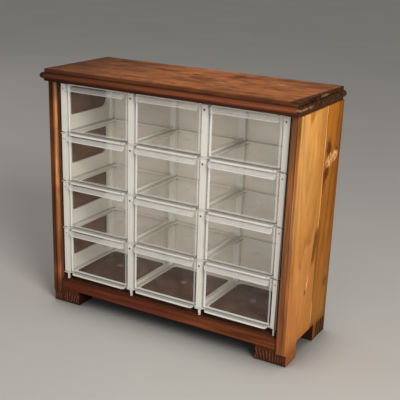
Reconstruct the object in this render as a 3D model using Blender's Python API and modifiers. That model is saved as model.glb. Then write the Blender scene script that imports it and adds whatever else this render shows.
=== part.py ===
"""Tabletop drawer cabinet: a moulded wooden case round a plug-together rack of clear drawers.

Metres, +Z up. The front faces -Y, and the origin is on the floor at the middle of the footprint.
Rows are numbered from the top and columns from the left, as seen from the front.
"""

import math

import bmesh
import bpy
from mathutils import Matrix, Vector

MM = 0.001

# Clearance between pieces that touch
FIT = 0.3 * MM

# Rack grid
COLUMNS = 3
ROWS = 4
COLUMN_PITCH = 100 * MM
ROW_PITCH = 62.8 * MM
RACK_DEPTH = 102 * MM

# Rack side panels: two posts joined by a thin web with a window; an inner panel's web is only two rails
POST_WIDTH = 7.5 * MM
FRONT_POST_DEPTH = 6.5 * MM
REAR_POST_DEPTH = 6.5 * MM
WEB_THICKNESS = 2.4 * MM
WEB_INSET = 0.25 * MM
WINDOW_SILL = 18.8 * MM
WINDOW_HEAD = 5 * MM
WINDOW_STRIP = 6.5 * MM
WINDOW_RADIUS = 10 * MM
WINDOW_SMALL_RADIUS = 3 * MM
INNER_RAIL = 3 * MM
PEG_RADIUS = 1.8 * MM
PEG_LENGTH = 10.9 * MM
PEG_SIDES = 8
LOCK_HOLE_RADIUS = 1.2 * MM
LOCK_HOLE_DROP = 6 * MM
LOCK_HOLE_OFFSET = 1 * MM
LOCK_HOLE_SIDES = 6

# Shelves: plates with a front lip, half-lapped corner ears and a large window, thinned beside it;
# top plates have no window
SHELF_THICKNESS = 2.6 * MM
SHELF_SIDE_RIM = 7.5 * MM
SHELF_FRONT_RIM = 8.5 * MM
SHELF_REAR_RIM = 5.5 * MM
SHELF_FLANGE = 1 * MM
SHELF_REBATE = 3 * MM
SHELF_WINDOW_RADIUS = 7 * MM
LIP_REACH = 3 * MM
LIP_END_GAP = 5 * MM
LIP_CHAMFER = 2 * MM
NOTCH_DEPTH = 4 * MM
EAR_REACH = 1.95 * MM
EAR_SETBACK = 0.6 * MM
EAR_DRAFT = 0.2 * MM

# Drawers: open boxes on two runners, with a lower back wall and a hooked pull lip
DRAWER_SIDE_GAP = 2 * MM
DRAWER_SETBACK = 1 * MM
DRAWER_REAR_GAP = 2.5 * MM
DRAWER_TOP_GAP = 0.9 * MM
DRAWER_WALL = 1.8 * MM
DRAWER_CORNER = 0.9 * MM
DRAWER_BACK_DROP = 17 * MM
RUNNER_HEIGHT = 1.5 * MM
RUNNER_WIDTH = 5 * MM
RUNNER_SETBACK = 4 * MM
PULL_REACH = 5.5 * MM
PULL_DROP = 6.5 * MM
PULL_THICKNESS = 1.7 * MM
PULL_END_INSET = 2.2 * MM
PULL_RADIUS = 2.5 * MM
PULL_TOP_STEP = 0.3 * MM

# Wooden case
BOARD = 14 * MM
FRONT_REVEAL = 6 * MM
FRONT_BOARD_WIDTH = 70.5 * MM
RACK_TO_BACK = 0.8 * MM
RACK_TO_TOP = 0.6 * MM
BASE_CLEARANCE = 19 * MM
ARCH_HEIGHT = 22 * MM
ARCH_RADIUS = 4 * MM
FRONT_FOOT_LENGTH = 31.5 * MM
REAR_FOOT_LENGTH = 38.5 * MM
FOOT_BLOCK_WIDTH = 26 * MM

# Moulded front edge of the sides: a bead, a quirk and a flat strip with a rounded corner
BEAD_RADIUS = 4.2 * MM
BEAD_END_ANGLE = 318
QUIRK_WIDTH = 1.2 * MM
STRIP_SETBACK = 0.8 * MM
STRIP_RADIUS = 1.8 * MM
FOOT_SETBACK = 3.2 * MM

# Carved flutes on the feet
FLUTE_RADIUS = 1.3 * MM
FLUTE_PITCH = 3.4 * MM
FLUTE_HEIGHT = 14 * MM
FLUTE_MARGIN = 1 * MM
FLUTE_LEAN = 4.5
FLUTE_SIDES = 8
FRONT_FLUTES = 11
FRONT_FLUTES_UPRIGHT = 5
REAR_FLUTES = 8
REAR_FLUTE_HEIGHT = 20 * MM

# Back panel in rebates, with its screws
BACK_THICKNESS = 3 * MM
BACK_INSET = 9 * MM
REBATE_WIDTH = 6 * MM
SCREW_RADIUS = 1.3 * MM
SCREW_LENGTH = 14 * MM
SCREW_HEAD_RADIUS = 2.5 * MM
SCREW_HEAD_HEIGHT = 1.5 * MM
SCREW_CROWN_RADIUS = 1.5 * MM
SCREW_POINT = 2.5 * MM
SCREW_MARGIN = 40 * MM
SCREW_SIDES = 12
SCREW_SLOT_WIDTH = 0.7 * MM
SCREW_SLOT_DEPTH = 0.6 * MM

# Top board: a stepped top, a rounded nose and a hollow below it
TOP_THICKNESS = 15 * MM
TOP_SIDE_OVERHANG = 2 * MM
TOP_FRONT_OVERHANG = 11.5 * MM
TOP_UNDERCUT = 3.6 * MM
TOP_UNDERCUT_HEIGHT = 2.6 * MM
NOSE_RADIUS = 4 * MM
NOSE_HEIGHT = 6.6 * MM
NOSE_LOWER_ANGLE = -60
NOSE_UPPER_ANGLE = 75
NOSE_STEPS = 9
TOP_STEP_INSET = 4.2 * MM
TOP_STEP_ROUND = 1.2 * MM

# Cutters reach this far past the surface that they cut
OVERCUT = 1 * MM

# Steps of a quarter round, and the radius up to which a corner is cut straight
ARC_STEPS = 3
TINY_RADIUS = 1 * MM

# Turns the corners of round holes off the lines of straight edges, in degrees
HOLE_TURN = 10

# Edges that turn more than this many degrees are shaded sharp
SHARP_ANGLE = 32

# Worked out from the sizes above
PANEL_HEIGHT = ROW_PITCH - SHELF_THICKNESS - 2 * FIT
FRONT_PEG_Y = FRONT_POST_DEPTH / 2
REAR_PEG_Y = RACK_DEPTH - REAR_POST_DEPTH / 2
SOCKET_RADIUS = PEG_RADIUS + FIT
SOCKET_DEPTH = PEG_LENGTH - SHELF_THICKNESS - FIT
DRAWER_WIDTH = COLUMN_PITCH - POST_WIDTH - 2 * DRAWER_SIDE_GAP
DRAWER_DEPTH = RACK_DEPTH - DRAWER_SETBACK - DRAWER_REAR_GAP
DRAWER_HEIGHT = ROW_PITCH - SHELF_THICKNESS - FIT - DRAWER_TOP_GAP
EAR_TIP_X = COLUMN_PITCH / 2 + POST_WIDTH / 2 + EAR_REACH

CASE_INNER_X = (COLUMNS - 1) * COLUMN_PITCH / 2 + EAR_TIP_X + FIT
CASE_OUTER_X = CASE_INNER_X + BOARD
SIDE_DEPTH = FRONT_REVEAL + RACK_DEPTH + RACK_TO_BACK + BACK_THICKNESS + BACK_INSET
TOP_HALF_LENGTH = CASE_OUTER_X + TOP_SIDE_OVERHANG
TOP_FRONT_Y = -(SIDE_DEPTH + TOP_FRONT_OVERHANG) / 2
CASE_FRONT_Y = TOP_FRONT_Y + TOP_FRONT_OVERHANG
CASE_REAR_Y = CASE_FRONT_Y + SIDE_DEPTH
RACK_FRONT_Y = CASE_FRONT_Y + FRONT_REVEAL
BACK_FRONT_Y = CASE_REAR_Y - BACK_INSET - BACK_THICKNESS
FOOT_FRONT_Y = CASE_FRONT_Y + FOOT_SETBACK
BASE_TOP_Z = BASE_CLEARANCE + BOARD
LOWEST_SHELF_Z = BASE_TOP_Z + PEG_LENGTH
SIDE_TOP_Z = LOWEST_SHELF_Z + ROWS * ROW_PITCH + RACK_TO_TOP
TOP_UNDER_Z = SIDE_TOP_Z + FIT

# Turns a plate drawn in XY so that it stands in YZ or in XZ
TO_YZ = Matrix(((0, 0, 1, 0), (1, 0, 0, 0), (0, 1, 0, 0), (0, 0, 0, 1)))
TO_XZ = Matrix(((1, 0, 0, 0), (0, 0, -1, 0), (0, 1, 0, 0), (0, 0, 0, 1)))


def clear_scene():
    for obj in list(bpy.data.objects):
        bpy.data.objects.remove(obj, do_unlink=True)


def new_collection(name):
    collection = bpy.data.collections.new(name)
    bpy.context.scene.collection.children.link(collection)
    return collection


def new_material(name, color, roughness, metallic=0.0, transmission=0.0):
    material = bpy.data.materials.new(name)
    material.use_nodes = True
    shader = material.node_tree.nodes["Principled BSDF"]
    shader.inputs["Base Color"].default_value = (*color, 1)
    shader.inputs["Roughness"].default_value = roughness
    shader.inputs["Metallic"].default_value = metallic
    shader.inputs["Transmission Weight"].default_value = transmission
    return material


def mesh_of(bm, name):
    bmesh.ops.recalc_face_normals(bm, faces=bm.faces)
    mesh = bpy.data.meshes.new(name)
    bm.to_mesh(mesh)
    bm.free()
    return mesh


def box(low, high):
    """A block between two corners."""
    low = Vector(low)
    high = Vector(high)
    place = Matrix.Translation((low + high) / 2) @ Matrix.Diagonal((*(high - low), 1))
    bm = bmesh.new()
    bmesh.ops.create_cube(bm, size=1, matrix=place)
    return mesh_of(bm, "box")


def add_rod(bm, start, end, radius, sides):
    """A capped cylinder between two points."""
    start = Vector(start)
    end = Vector(end)
    turn = (end - start).to_track_quat("Z", "Y").to_matrix().to_4x4()
    place = Matrix.Translation((start + end) / 2) @ turn
    bmesh.ops.create_cone(
        bm,
        cap_ends=True,
        segments=sides,
        radius1=radius,
        radius2=radius,
        depth=(end - start).length,
        matrix=place,
    )


def rods(ends, radius, sides):
    """Separate cylinders of one radius in one mesh."""
    bm = bmesh.new()
    for start, end in ends:
        add_rod(bm, start, end, radius, sides)
    return mesh_of(bm, "rods")


def plate(outlines, thickness):
    """A flat plate on z = 0: the first outline is its rim and the others are holes."""
    curve = bpy.data.curves.new("outline", "CURVE")
    curve.dimensions = "2D"
    curve.fill_mode = "BOTH"
    curve.extrude = thickness / 2
    for points in outlines:
        spline = curve.splines.new("POLY")
        spline.points.add(len(points) - 1)
        for point, (x, y) in zip(spline.points, points):
            point.co = (x, y, 0, 1)
        spline.use_cyclic_u = True
    guide = bpy.data.objects.new("outline", curve)
    bpy.context.scene.collection.objects.link(guide)
    graph = bpy.context.evaluated_depsgraph_get()
    flat = bpy.data.meshes.new_from_object(guide.evaluated_get(graph))
    bpy.data.objects.remove(guide)
    bpy.data.curves.remove(curve)
    bm = bmesh.new()
    bm.from_mesh(flat)
    bpy.data.meshes.remove(flat)
    bmesh.ops.remove_doubles(bm, verts=bm.verts, dist=FIT / 100)
    mesh = mesh_of(bm, "plate")
    mesh.transform(Matrix.Translation((0, 0, thickness / 2)))
    return mesh


def placed(mesh, matrix):
    mesh.transform(matrix)
    return mesh


def moved(mesh, offset):
    return placed(mesh, Matrix.Translation(offset))


def arc(x, y, radius, first, last, steps=ARC_STEPS):
    """Points on an arc, angles in degrees."""
    points = []
    for i in range(steps + 1):
        angle = math.radians(first + (last - first) * i / steps)
        points.append((x + radius * math.cos(angle), y + radius * math.sin(angle)))
    return points


def rounded_rectangle(x0, y0, x1, y1, radii):
    """A rectangle whose corner radii start at the low corner and go round anticlockwise.

    A tiny corner is cut straight.
    """
    corners = ((x0, y0, 1, 1), (x1, y0, -1, 1), (x1, y1, -1, -1), (x0, y1, 1, -1))
    points = []
    for i, ((x, y, inward_x, inward_y), radius) in enumerate(zip(corners, radii)):
        centre_x = x + inward_x * radius
        centre_y = y + inward_y * radius
        steps = ARC_STEPS if radius > TINY_RADIUS else 1
        points += arc(centre_x, centre_y, radius, 180 + 90 * i, 270 + 90 * i, steps)
    return points


def circle(x, y, radius, sides):
    return arc(x, y, radius, HOLE_TURN, HOLE_TURN + 360 - 360 / sides, sides - 1)


def shaped(mesh, joins=(), cuts=()):
    """The mesh with others joined to it and then cut from it."""
    body = bpy.data.objects.new("body", mesh)
    bpy.context.scene.collection.objects.link(body)
    for operation, tools in (("UNION", joins), ("DIFFERENCE", cuts)):
        for tool_mesh in tools:
            tool = bpy.data.objects.new("cutter", tool_mesh)
            tool.display_type = "WIRE"
            tool.hide_render = True
            CUTTERS.objects.link(tool)
            boolean = body.modifiers.new(operation.lower(), "BOOLEAN")
            boolean.operation = operation
            boolean.object = tool
    graph = bpy.context.evaluated_depsgraph_get()
    result = bpy.data.meshes.new_from_object(body.evaluated_get(graph))
    bpy.data.objects.remove(body)
    return result


def mirrored(mesh):
    """A copy of the mesh for the other side of the YZ plane."""
    other = mesh.copy()
    other.transform(Matrix.Scale(-1, 4, (1, 0, 0)))
    other.flip_normals()
    return other


def add_part(name, mesh, material, location=(0, 0, 0)):
    part = bpy.data.objects.new(name, mesh)
    part.location = location
    if not mesh.materials:
        mesh.materials.append(material)
    mesh.shade_smooth()
    mesh.set_sharp_from_angle(angle=math.radians(SHARP_ANGLE))
    PARTS.objects.link(part)
    return part


# The plastic rack


def panel_mesh(outer):
    """A rack side panel: origin at the foot of its front post's front face."""
    half_post = POST_WIDTH / 2
    rear_post_y = RACK_DEPTH - REAR_POST_DEPTH
    strip = WINDOW_STRIP if outer else WEB_INSET
    sill = WINDOW_SILL if outer else INNER_RAIL
    head = WINDOW_HEAD if outer else INNER_RAIL
    rear_radius = WINDOW_RADIUS if outer else WINDOW_SMALL_RADIUS
    web_rim = (
        (FRONT_POST_DEPTH / 2, WEB_INSET),
        (rear_post_y + REAR_POST_DEPTH / 2, WEB_INSET),
        (rear_post_y + REAR_POST_DEPTH / 2, PANEL_HEIGHT - WEB_INSET),
        (FRONT_POST_DEPTH / 2, PANEL_HEIGHT - WEB_INSET),
    )
    window = rounded_rectangle(
        FRONT_POST_DEPTH + strip,
        sill,
        rear_post_y - strip,
        PANEL_HEIGHT - head,
        (WINDOW_SMALL_RADIUS, rear_radius, WINDOW_SMALL_RADIUS, WINDOW_SMALL_RADIUS),
    )
    web = placed(plate((web_rim, window), WEB_THICKNESS), TO_YZ)
    moved(web, (-WEB_THICKNESS / 2, 0, 0))
    front_post = box((-half_post, 0, 0), (half_post, FRONT_POST_DEPTH, PANEL_HEIGHT))
    rear_post = box((-half_post, rear_post_y, 0), (half_post, RACK_DEPTH, PANEL_HEIGHT))
    pegs = []
    sockets = []
    for y in (FRONT_PEG_Y, REAR_PEG_Y):
        pegs.append(((0, y, -PEG_LENGTH), (0, y, OVERCUT)))
        sockets.append(((0, y, PANEL_HEIGHT - SOCKET_DEPTH), (0, y, PANEL_HEIGHT + OVERCUT)))
    lock_z = PANEL_HEIGHT - LOCK_HOLE_DROP
    lock_hole = ((-LOCK_HOLE_OFFSET, -OVERCUT, lock_z), (-LOCK_HOLE_OFFSET, FRONT_PEG_Y, lock_z))
    return shaped(
        web,
        joins=(front_post, rear_post, rods(pegs, PEG_RADIUS, PEG_SIDES)),
        cuts=(
            rods(sockets, SOCKET_RADIUS, PEG_SIDES),
            rods((lock_hole,), LOCK_HOLE_RADIUS, LOCK_HOLE_SIDES),
        ),
    )


def shelf_half_outline():
    """The right half of a shelf's rim, from its front lip round to its rear edge."""
    post_face = COLUMN_PITCH / 2 - POST_WIDTH / 2
    lip_root = post_face - LIP_END_GAP
    plate_side = COLUMN_PITCH / 2 - FIT / 2
    rear_ear_y = RACK_DEPTH - REAR_POST_DEPTH
    return [
        (lip_root - LIP_CHAMFER, -LIP_REACH),
        (lip_root, LIP_CHAMFER - LIP_REACH),
        (lip_root, NOTCH_DEPTH),
        (post_face, NOTCH_DEPTH - EAR_DRAFT),
        (post_face, EAR_SETBACK),
        (EAR_TIP_X, EAR_SETBACK + EAR_DRAFT),
        (EAR_TIP_X, FRONT_POST_DEPTH - EAR_DRAFT),
        (plate_side, FRONT_POST_DEPTH),
        (plate_side, rear_ear_y),
        (EAR_TIP_X, rear_ear_y + EAR_DRAFT),
        (EAR_TIP_X, RACK_DEPTH - EAR_SETBACK),
    ]


def shelf_mesh(with_window):
    """A shelf or top plate: origin at the middle of the rack's front, on its top face."""
    right = shelf_half_outline()
    left = [(-x, y) for x, y in reversed(right)]
    half_window = COLUMN_PITCH / 2 - SHELF_SIDE_RIM
    window_rear = RACK_DEPTH - SHELF_REAR_RIM
    radii = (SHELF_WINDOW_RADIUS,) * 4
    outlines = [right + left]
    cuts = [lap_cutter(side, y0, y1) for side in (-1, 1) for y0, y1 in ear_spans()]
    if with_window:
        outlines.append(rounded_rectangle(-half_window, SHELF_FRONT_RIM, half_window, window_rear, radii))
        rebate = box(
            (-half_window - SHELF_REBATE, SHELF_FRONT_RIM - SHELF_REBATE, -SHELF_THICKNESS - OVERCUT),
            (half_window + SHELF_REBATE, window_rear + SHELF_REBATE, -SHELF_FLANGE),
        )
        cuts.append(rebate)
    for x in (-COLUMN_PITCH / 2, COLUMN_PITCH / 2):
        for y in (FRONT_PEG_Y, REAR_PEG_Y):
            outlines.append(circle(x, y, SOCKET_RADIUS, PEG_SIDES))
    body = moved(plate(outlines, SHELF_THICKNESS), (0, 0, -SHELF_THICKNESS))
    return shaped(body, cuts=cuts)


def ear_spans():
    """Where the ears lie from front to back, with room for the neighbour's ears."""
    front = (-LIP_REACH, FRONT_POST_DEPTH + FIT)
    rear = (RACK_DEPTH - REAR_POST_DEPTH - FIT, RACK_DEPTH + OVERCUT)
    return front, rear


def lap_cutter(side, y0, y1):
    """Takes the upper half off the left ears and the lower half off the right ears."""
    inner_x = COLUMN_PITCH - EAR_TIP_X - FIT
    outer_x = EAR_TIP_X + OVERCUT
    middle = -SHELF_THICKNESS / 2
    if side < 0:
        return box((-outer_x, y0, middle - FIT / 2), (-inner_x, y1, OVERCUT))
    return box((inner_x, y0, -SHELF_THICKNESS - OVERCUT), (outer_x, y1, middle + FIT / 2))


def drawer_mesh():
    """A drawer: origin at the middle of its front face's lower edge."""
    half = DRAWER_WIDTH / 2
    inner_half = half - DRAWER_WALL
    inner_rear = DRAWER_DEPTH - DRAWER_WALL
    inner_corner = max(DRAWER_CORNER - DRAWER_WALL, FIT)
    outside = plate(
        (rounded_rectangle(-half, 0, half, DRAWER_DEPTH, (DRAWER_CORNER,) * 4),),
        DRAWER_HEIGHT,
    )
    inside = plate(
        (rounded_rectangle(-inner_half, DRAWER_WALL, inner_half, inner_rear, (inner_corner,) * 4),),
        DRAWER_HEIGHT,
    )
    moved(inside, (0, 0, RUNNER_HEIGHT + DRAWER_WALL))
    between_runners = box(
        (RUNNER_WIDTH - half, -OVERCUT, -OVERCUT),
        (half - RUNNER_WIDTH, DRAWER_DEPTH + OVERCUT, RUNNER_HEIGHT),
    )
    before_runners = box(
        (-half - OVERCUT, -OVERCUT, -OVERCUT),
        (half + OVERCUT, RUNNER_SETBACK, RUNNER_HEIGHT),
    )
    back_half = half - DRAWER_CORNER - DRAWER_WALL
    back_notch = box(
        (-back_half, inner_rear - OVERCUT, DRAWER_HEIGHT - DRAWER_BACK_DROP),
        (back_half, DRAWER_DEPTH + OVERCUT, DRAWER_HEIGHT + OVERCUT),
    )
    pull_half = half - PULL_END_INSET
    pull_top = DRAWER_HEIGHT - PULL_TOP_STEP
    hook_outline = rounded_rectangle(
        -pull_half,
        pull_top - PULL_DROP,
        pull_half,
        pull_top,
        (PULL_RADIUS, PULL_RADIUS, PULL_THICKNESS / 2, PULL_THICKNESS / 2),
    )
    hook = placed(plate((hook_outline,), PULL_THICKNESS), TO_XZ)
    moved(hook, (0, PULL_THICKNESS - PULL_REACH, 0))
    tongue = box(
        (-pull_half + PULL_THICKNESS, PULL_THICKNESS / 2 - PULL_REACH, pull_top - PULL_THICKNESS),
        (pull_half - PULL_THICKNESS, DRAWER_WALL / 2, pull_top - FIT / 2),
    )
    body = shaped(outside, cuts=(inside, back_notch, between_runners, before_runners))
    return shaped(body, joins=(hook, tongue))


def shelf_z(row):
    """The top face of the shelf under a row; row 0 gives the top plates."""
    return LOWEST_SHELF_Z + (ROWS - row) * ROW_PITCH


def column_x(column):
    return (column - (COLUMNS + 1) / 2) * COLUMN_PITCH


def build_rack(white):
    outer_panel = panel_mesh(outer=True)
    inner_panel = panel_mesh(outer=False)
    for line in range(1, COLUMNS + 2):
        x = column_x(line) - COLUMN_PITCH / 2
        panel = outer_panel if line in (1, COLUMNS + 1) else inner_panel
        for row in range(1, ROWS + 1):
            place = (x, RACK_FRONT_Y, shelf_z(row) + FIT)
            add_part(f"rack_panel_{line}_{row}", panel, white, place)
    shelf = shelf_mesh(with_window=True)
    top_plate = shelf_mesh(with_window=False)
    for column in range(1, COLUMNS + 1):
        add_part(f"top_plate_{column}", top_plate, white, (column_x(column), RACK_FRONT_Y, shelf_z(0)))
        for row in range(1, ROWS + 1):
            add_part(f"shelf_{row}_{column}", shelf, white, (column_x(column), RACK_FRONT_Y, shelf_z(row)))


def build_drawers(clear):
    drawer = drawer_mesh()
    for row in range(1, ROWS + 1):
        for column in range(1, COLUMNS + 1):
            place = (column_x(column), RACK_FRONT_Y + DRAWER_SETBACK, shelf_z(row) + FIT)
            add_part(f"drawer_{row}_{column}", drawer, clear, place)


# The wooden case


def arch_cutter():
    """The opening between the front and rear feet of one side."""
    outline = rounded_rectangle(
        CASE_FRONT_Y + FRONT_FOOT_LENGTH,
        -ARCH_HEIGHT,
        CASE_REAR_Y - REAR_FOOT_LENGTH,
        ARCH_HEIGHT,
        (ARCH_RADIUS,) * 4,
    )
    cutter = placed(plate((outline,), BOARD + 2 * OVERCUT), TO_YZ)
    return moved(cutter, (CASE_INNER_X - OVERCUT, 0, 0))


def front_flutes():
    """Flutes across the right front foot: upright at the outside, fanning inwards."""
    ends = []
    for i in range(FRONT_FLUTES):
        x = CASE_OUTER_X - (i + 0.5) * FLUTE_PITCH
        lean = math.radians(FLUTE_LEAN * max(0, i - FRONT_FLUTES_UPRIGHT))
        drift = math.tan(lean) * FLUTE_HEIGHT
        foot = Vector((x, FOOT_FRONT_Y, 0))
        head = Vector((x - drift, FOOT_FRONT_Y, FLUTE_HEIGHT))
        ends.append((foot + (foot - head) * OVERCUT / FLUTE_HEIGHT, head))
    return rods(ends, FLUTE_RADIUS, FLUTE_SIDES)


def rear_flutes():
    """Upright flutes low on the outer face of the right rear foot."""
    ends = []
    for i in range(REAR_FLUTES):
        y = CASE_REAR_Y - (i + 1) * FLUTE_PITCH
        ends.append(((CASE_OUTER_X, y, -OVERCUT), (CASE_OUTER_X, y, REAR_FLUTE_HEIGHT)))
    return rods(ends, FLUTE_RADIUS, FLUTE_SIDES)


def front_board_mesh():
    """The right front board: its plan carries the bead, the quirk and the flat strip."""
    plan = arc(BEAD_RADIUS, BEAD_RADIUS, BEAD_RADIUS, 180, BEAD_END_ANGLE, 2 * ARC_STEPS)
    bead_end, quirk_depth = plan[-1]
    plan.append((bead_end + QUIRK_WIDTH, quirk_depth))
    plan.append((bead_end + QUIRK_WIDTH, STRIP_SETBACK))
    plan += arc(BOARD - STRIP_RADIUS, STRIP_SETBACK + STRIP_RADIUS, STRIP_RADIUS, 270, 360)
    plan.append((BOARD, FRONT_BOARD_WIDTH - FIT / 2))
    plan.append((0, FRONT_BOARD_WIDTH - FIT / 2))
    board = moved(plate((plan,), SIDE_TOP_Z), (CASE_INNER_X, CASE_FRONT_Y, 0))
    foot_flat = box(
        (CASE_INNER_X - OVERCUT, CASE_FRONT_Y - OVERCUT, -OVERCUT),
        (CASE_OUTER_X + OVERCUT, FOOT_FRONT_Y, FLUTE_HEIGHT + FLUTE_MARGIN),
    )
    return shaped(board, cuts=(arch_cutter(), foot_flat, front_flutes()))


def screw_places():
    """Where the right-hand screws enter, on the back panel's rear face."""
    x = CASE_INNER_X + REBATE_WIDTH / 2
    y = BACK_FRONT_Y + BACK_THICKNESS
    return (Vector((x, y, BASE_CLEARANCE + SCREW_MARGIN)), Vector((x, y, SIDE_TOP_Z - SCREW_MARGIN)))


def rear_board_mesh():
    """The right rear board, with a rebate for the back panel."""
    rebate_depth = BACK_THICKNESS + BACK_INSET + FIT
    plan = (
        (0, FRONT_BOARD_WIDTH + FIT / 2),
        (BOARD, FRONT_BOARD_WIDTH + FIT / 2),
        (BOARD, SIDE_DEPTH),
        (REBATE_WIDTH, SIDE_DEPTH),
        (REBATE_WIDTH, SIDE_DEPTH - rebate_depth),
        (0, SIDE_DEPTH - rebate_depth),
    )
    board = moved(plate((plan,), SIDE_TOP_Z), (CASE_INNER_X, CASE_FRONT_Y, 0))
    pilots = []
    for place in screw_places():
        inner_end = place - Vector((0, SCREW_LENGTH + FIT, 0))
        pilots.append((inner_end, place))
    pilot_holes = rods(pilots, SCREW_RADIUS + FIT, SCREW_SIDES)
    return shaped(board, cuts=(arch_cutter(), rear_flutes(), pilot_holes))


def back_panel_mesh():
    half = CASE_INNER_X + REBATE_WIDTH - FIT
    rim = ((-half, BASE_CLEARANCE), (half, BASE_CLEARANCE), (half, SIDE_TOP_Z), (-half, SIDE_TOP_Z))
    outlines = [rim]
    for place in screw_places():
        for x in (-place.x, place.x):
            outlines.append(circle(x, place.z, SCREW_RADIUS + FIT, SCREW_SIDES))
    panel = placed(plate(outlines, BACK_THICKNESS), TO_XZ)
    return moved(panel, (0, BACK_FRONT_Y + BACK_THICKNESS, 0))


def screw_mesh():
    """A slotted pan-head screw along +Z, with the underside of its head on z = 0."""
    profile = (
        (0, SCREW_HEAD_HEIGHT),
        (SCREW_CROWN_RADIUS, SCREW_HEAD_HEIGHT),
        (SCREW_HEAD_RADIUS, SCREW_HEAD_HEIGHT / 2),
        (SCREW_HEAD_RADIUS, 0),
        (SCREW_RADIUS, 0),
        (SCREW_RADIUS, SCREW_POINT - SCREW_LENGTH),
        (0, -SCREW_LENGTH),
    )
    bm = bmesh.new()
    points = [bm.verts.new((x, 0, z)) for x, z in profile]
    for upper, lower in zip(points, points[1:]):
        bm.edges.new((upper, lower))
    outline = bpy.data.meshes.new("screw_profile")
    bm.to_mesh(outline)
    bm.free()
    turned = bpy.data.objects.new("screw_profile", outline)
    bpy.context.scene.collection.objects.link(turned)
    screw = turned.modifiers.new("turn", "SCREW")
    screw.steps = SCREW_SIDES
    screw.render_steps = SCREW_SIDES
    screw.use_merge_vertices = True
    screw.merge_threshold = FIT / 100
    graph = bpy.context.evaluated_depsgraph_get()
    solid = bpy.data.meshes.new_from_object(turned.evaluated_get(graph))
    bpy.data.objects.remove(turned)
    slot = box(
        (-SCREW_SLOT_WIDTH / 2, -SCREW_HEAD_RADIUS, SCREW_HEAD_HEIGHT - SCREW_SLOT_DEPTH),
        (SCREW_SLOT_WIDTH / 2, SCREW_HEAD_RADIUS, SCREW_HEAD_HEIGHT + OVERCUT),
    )
    return shaped(solid, cuts=(slot,))


def top_profile():
    """The top board's edge from below: inset from the nose, and height above the underside."""
    nose = arc(
        NOSE_RADIUS,
        NOSE_HEIGHT,
        NOSE_RADIUS,
        180 - NOSE_LOWER_ANGLE,
        180 - NOSE_UPPER_ANGLE,
        NOSE_STEPS,
    )
    profile = [(TOP_UNDERCUT, 0), (TOP_UNDERCUT, TOP_UNDERCUT_HEIGHT)]
    profile += nose
    profile.append((TOP_STEP_INSET, nose[-1][1]))
    profile += arc(
        TOP_STEP_INSET + TOP_STEP_ROUND,
        TOP_THICKNESS - TOP_STEP_ROUND,
        TOP_STEP_ROUND,
        180,
        90,
    )
    return profile


def top_board_mesh():
    """A loft through the rectangles that the moulded edge gives; its rear edge is plain."""
    bm = bmesh.new()
    rings = []
    for inset, height in top_profile():
        half = TOP_HALF_LENGTH - inset
        front = TOP_FRONT_Y + inset
        z = TOP_UNDER_Z + height
        corners = ((-half, front, z), (half, front, z), (half, CASE_REAR_Y, z), (-half, CASE_REAR_Y, z))
        rings.append([bm.verts.new(corner) for corner in corners])
    for low, high in zip(rings, rings[1:]):
        for i in range(len(low)):
            bm.faces.new((low[i - 1], low[i], high[i], high[i - 1]))
    bm.faces.new(rings[0])
    bm.faces.new(rings[-1])
    return mesh_of(bm, "top_board")


def foot_block_mesh(front):
    """A right-hand block beside a foot of the side, under the base board."""
    outer_x = CASE_INNER_X - FIT
    if front:
        y0 = FOOT_FRONT_Y
        y1 = CASE_FRONT_Y + FRONT_FOOT_LENGTH
    else:
        y0 = CASE_REAR_Y - REAR_FOOT_LENGTH
        y1 = BACK_FRONT_Y - FIT
    block = box((outer_x - FOOT_BLOCK_WIDTH, y0, 0), (outer_x, y1, BASE_CLEARANCE - FIT))
    return shaped(block, cuts=(front_flutes(),)) if front else block


def build_case(top_wood, side_wood, dark_wood, hardboard, steel):
    add_part("top_board", top_board_mesh(), top_wood)
    base_half = CASE_INNER_X - FIT
    base = box(
        (-base_half, FOOT_FRONT_Y, BASE_CLEARANCE),
        (base_half, BACK_FRONT_Y - FIT, BASE_TOP_Z),
    )
    add_part("base_board", base, dark_wood)
    add_part("back_panel", back_panel_mesh(), hardboard)
    pieces = (
        ("{}_side_front_board", front_board_mesh(), side_wood),
        ("{}_side_rear_board", rear_board_mesh(), side_wood),
        ("front_{}_foot", foot_block_mesh(front=True), dark_wood),
        ("rear_{}_foot", foot_block_mesh(front=False), dark_wood),
    )
    for name, mesh, material in pieces:
        add_part(name.format("right"), mesh, material)
        add_part(name.format("left"), mirrored(mesh), material)
    screw = screw_mesh()
    backwards = Matrix.Rotation(math.radians(-90), 4, "X")
    count = 0
    for place in screw_places():
        for side in (-1, 1):
            count += 1
            part = add_part(f"back_screw_{count}", screw, steel)
            seat = Vector((side * place.x, place.y + FIT, place.z))
            part.matrix_world = Matrix.Translation(seat) @ backwards


clear_scene()
PARTS = new_collection("tabletop_drawer_cabinet")
CUTTERS = new_collection("cutters")
build_case(
    top_wood=new_material("stained_top", (0.26, 0.115, 0.05), 0.45),
    side_wood=new_material("stained_side", (0.55, 0.29, 0.09), 0.4),
    dark_wood=new_material("stained_base", (0.085, 0.027, 0.013), 0.45),
    hardboard=new_material("hardboard", (0.31, 0.27, 0.22), 0.7),
    steel=new_material("screw_steel", (0.56, 0.54, 0.5), 0.35, metallic=1.0),
)
build_rack(new_material("white_plastic", (0.62, 0.6, 0.54), 0.4))
build_drawers(new_material("clear_plastic", (0.85, 0.85, 0.83), 0.08, transmission=0.9))
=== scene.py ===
"""Looks for the tabletop drawer cabinet: stained pine, white moulded plastic and clear drawers.

Every length is in metres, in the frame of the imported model: +Z up, the front faces -Y.
Every colour is linear red, green and blue.
"""

import math

import bpy
from mathutils import Matrix, Vector

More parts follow.
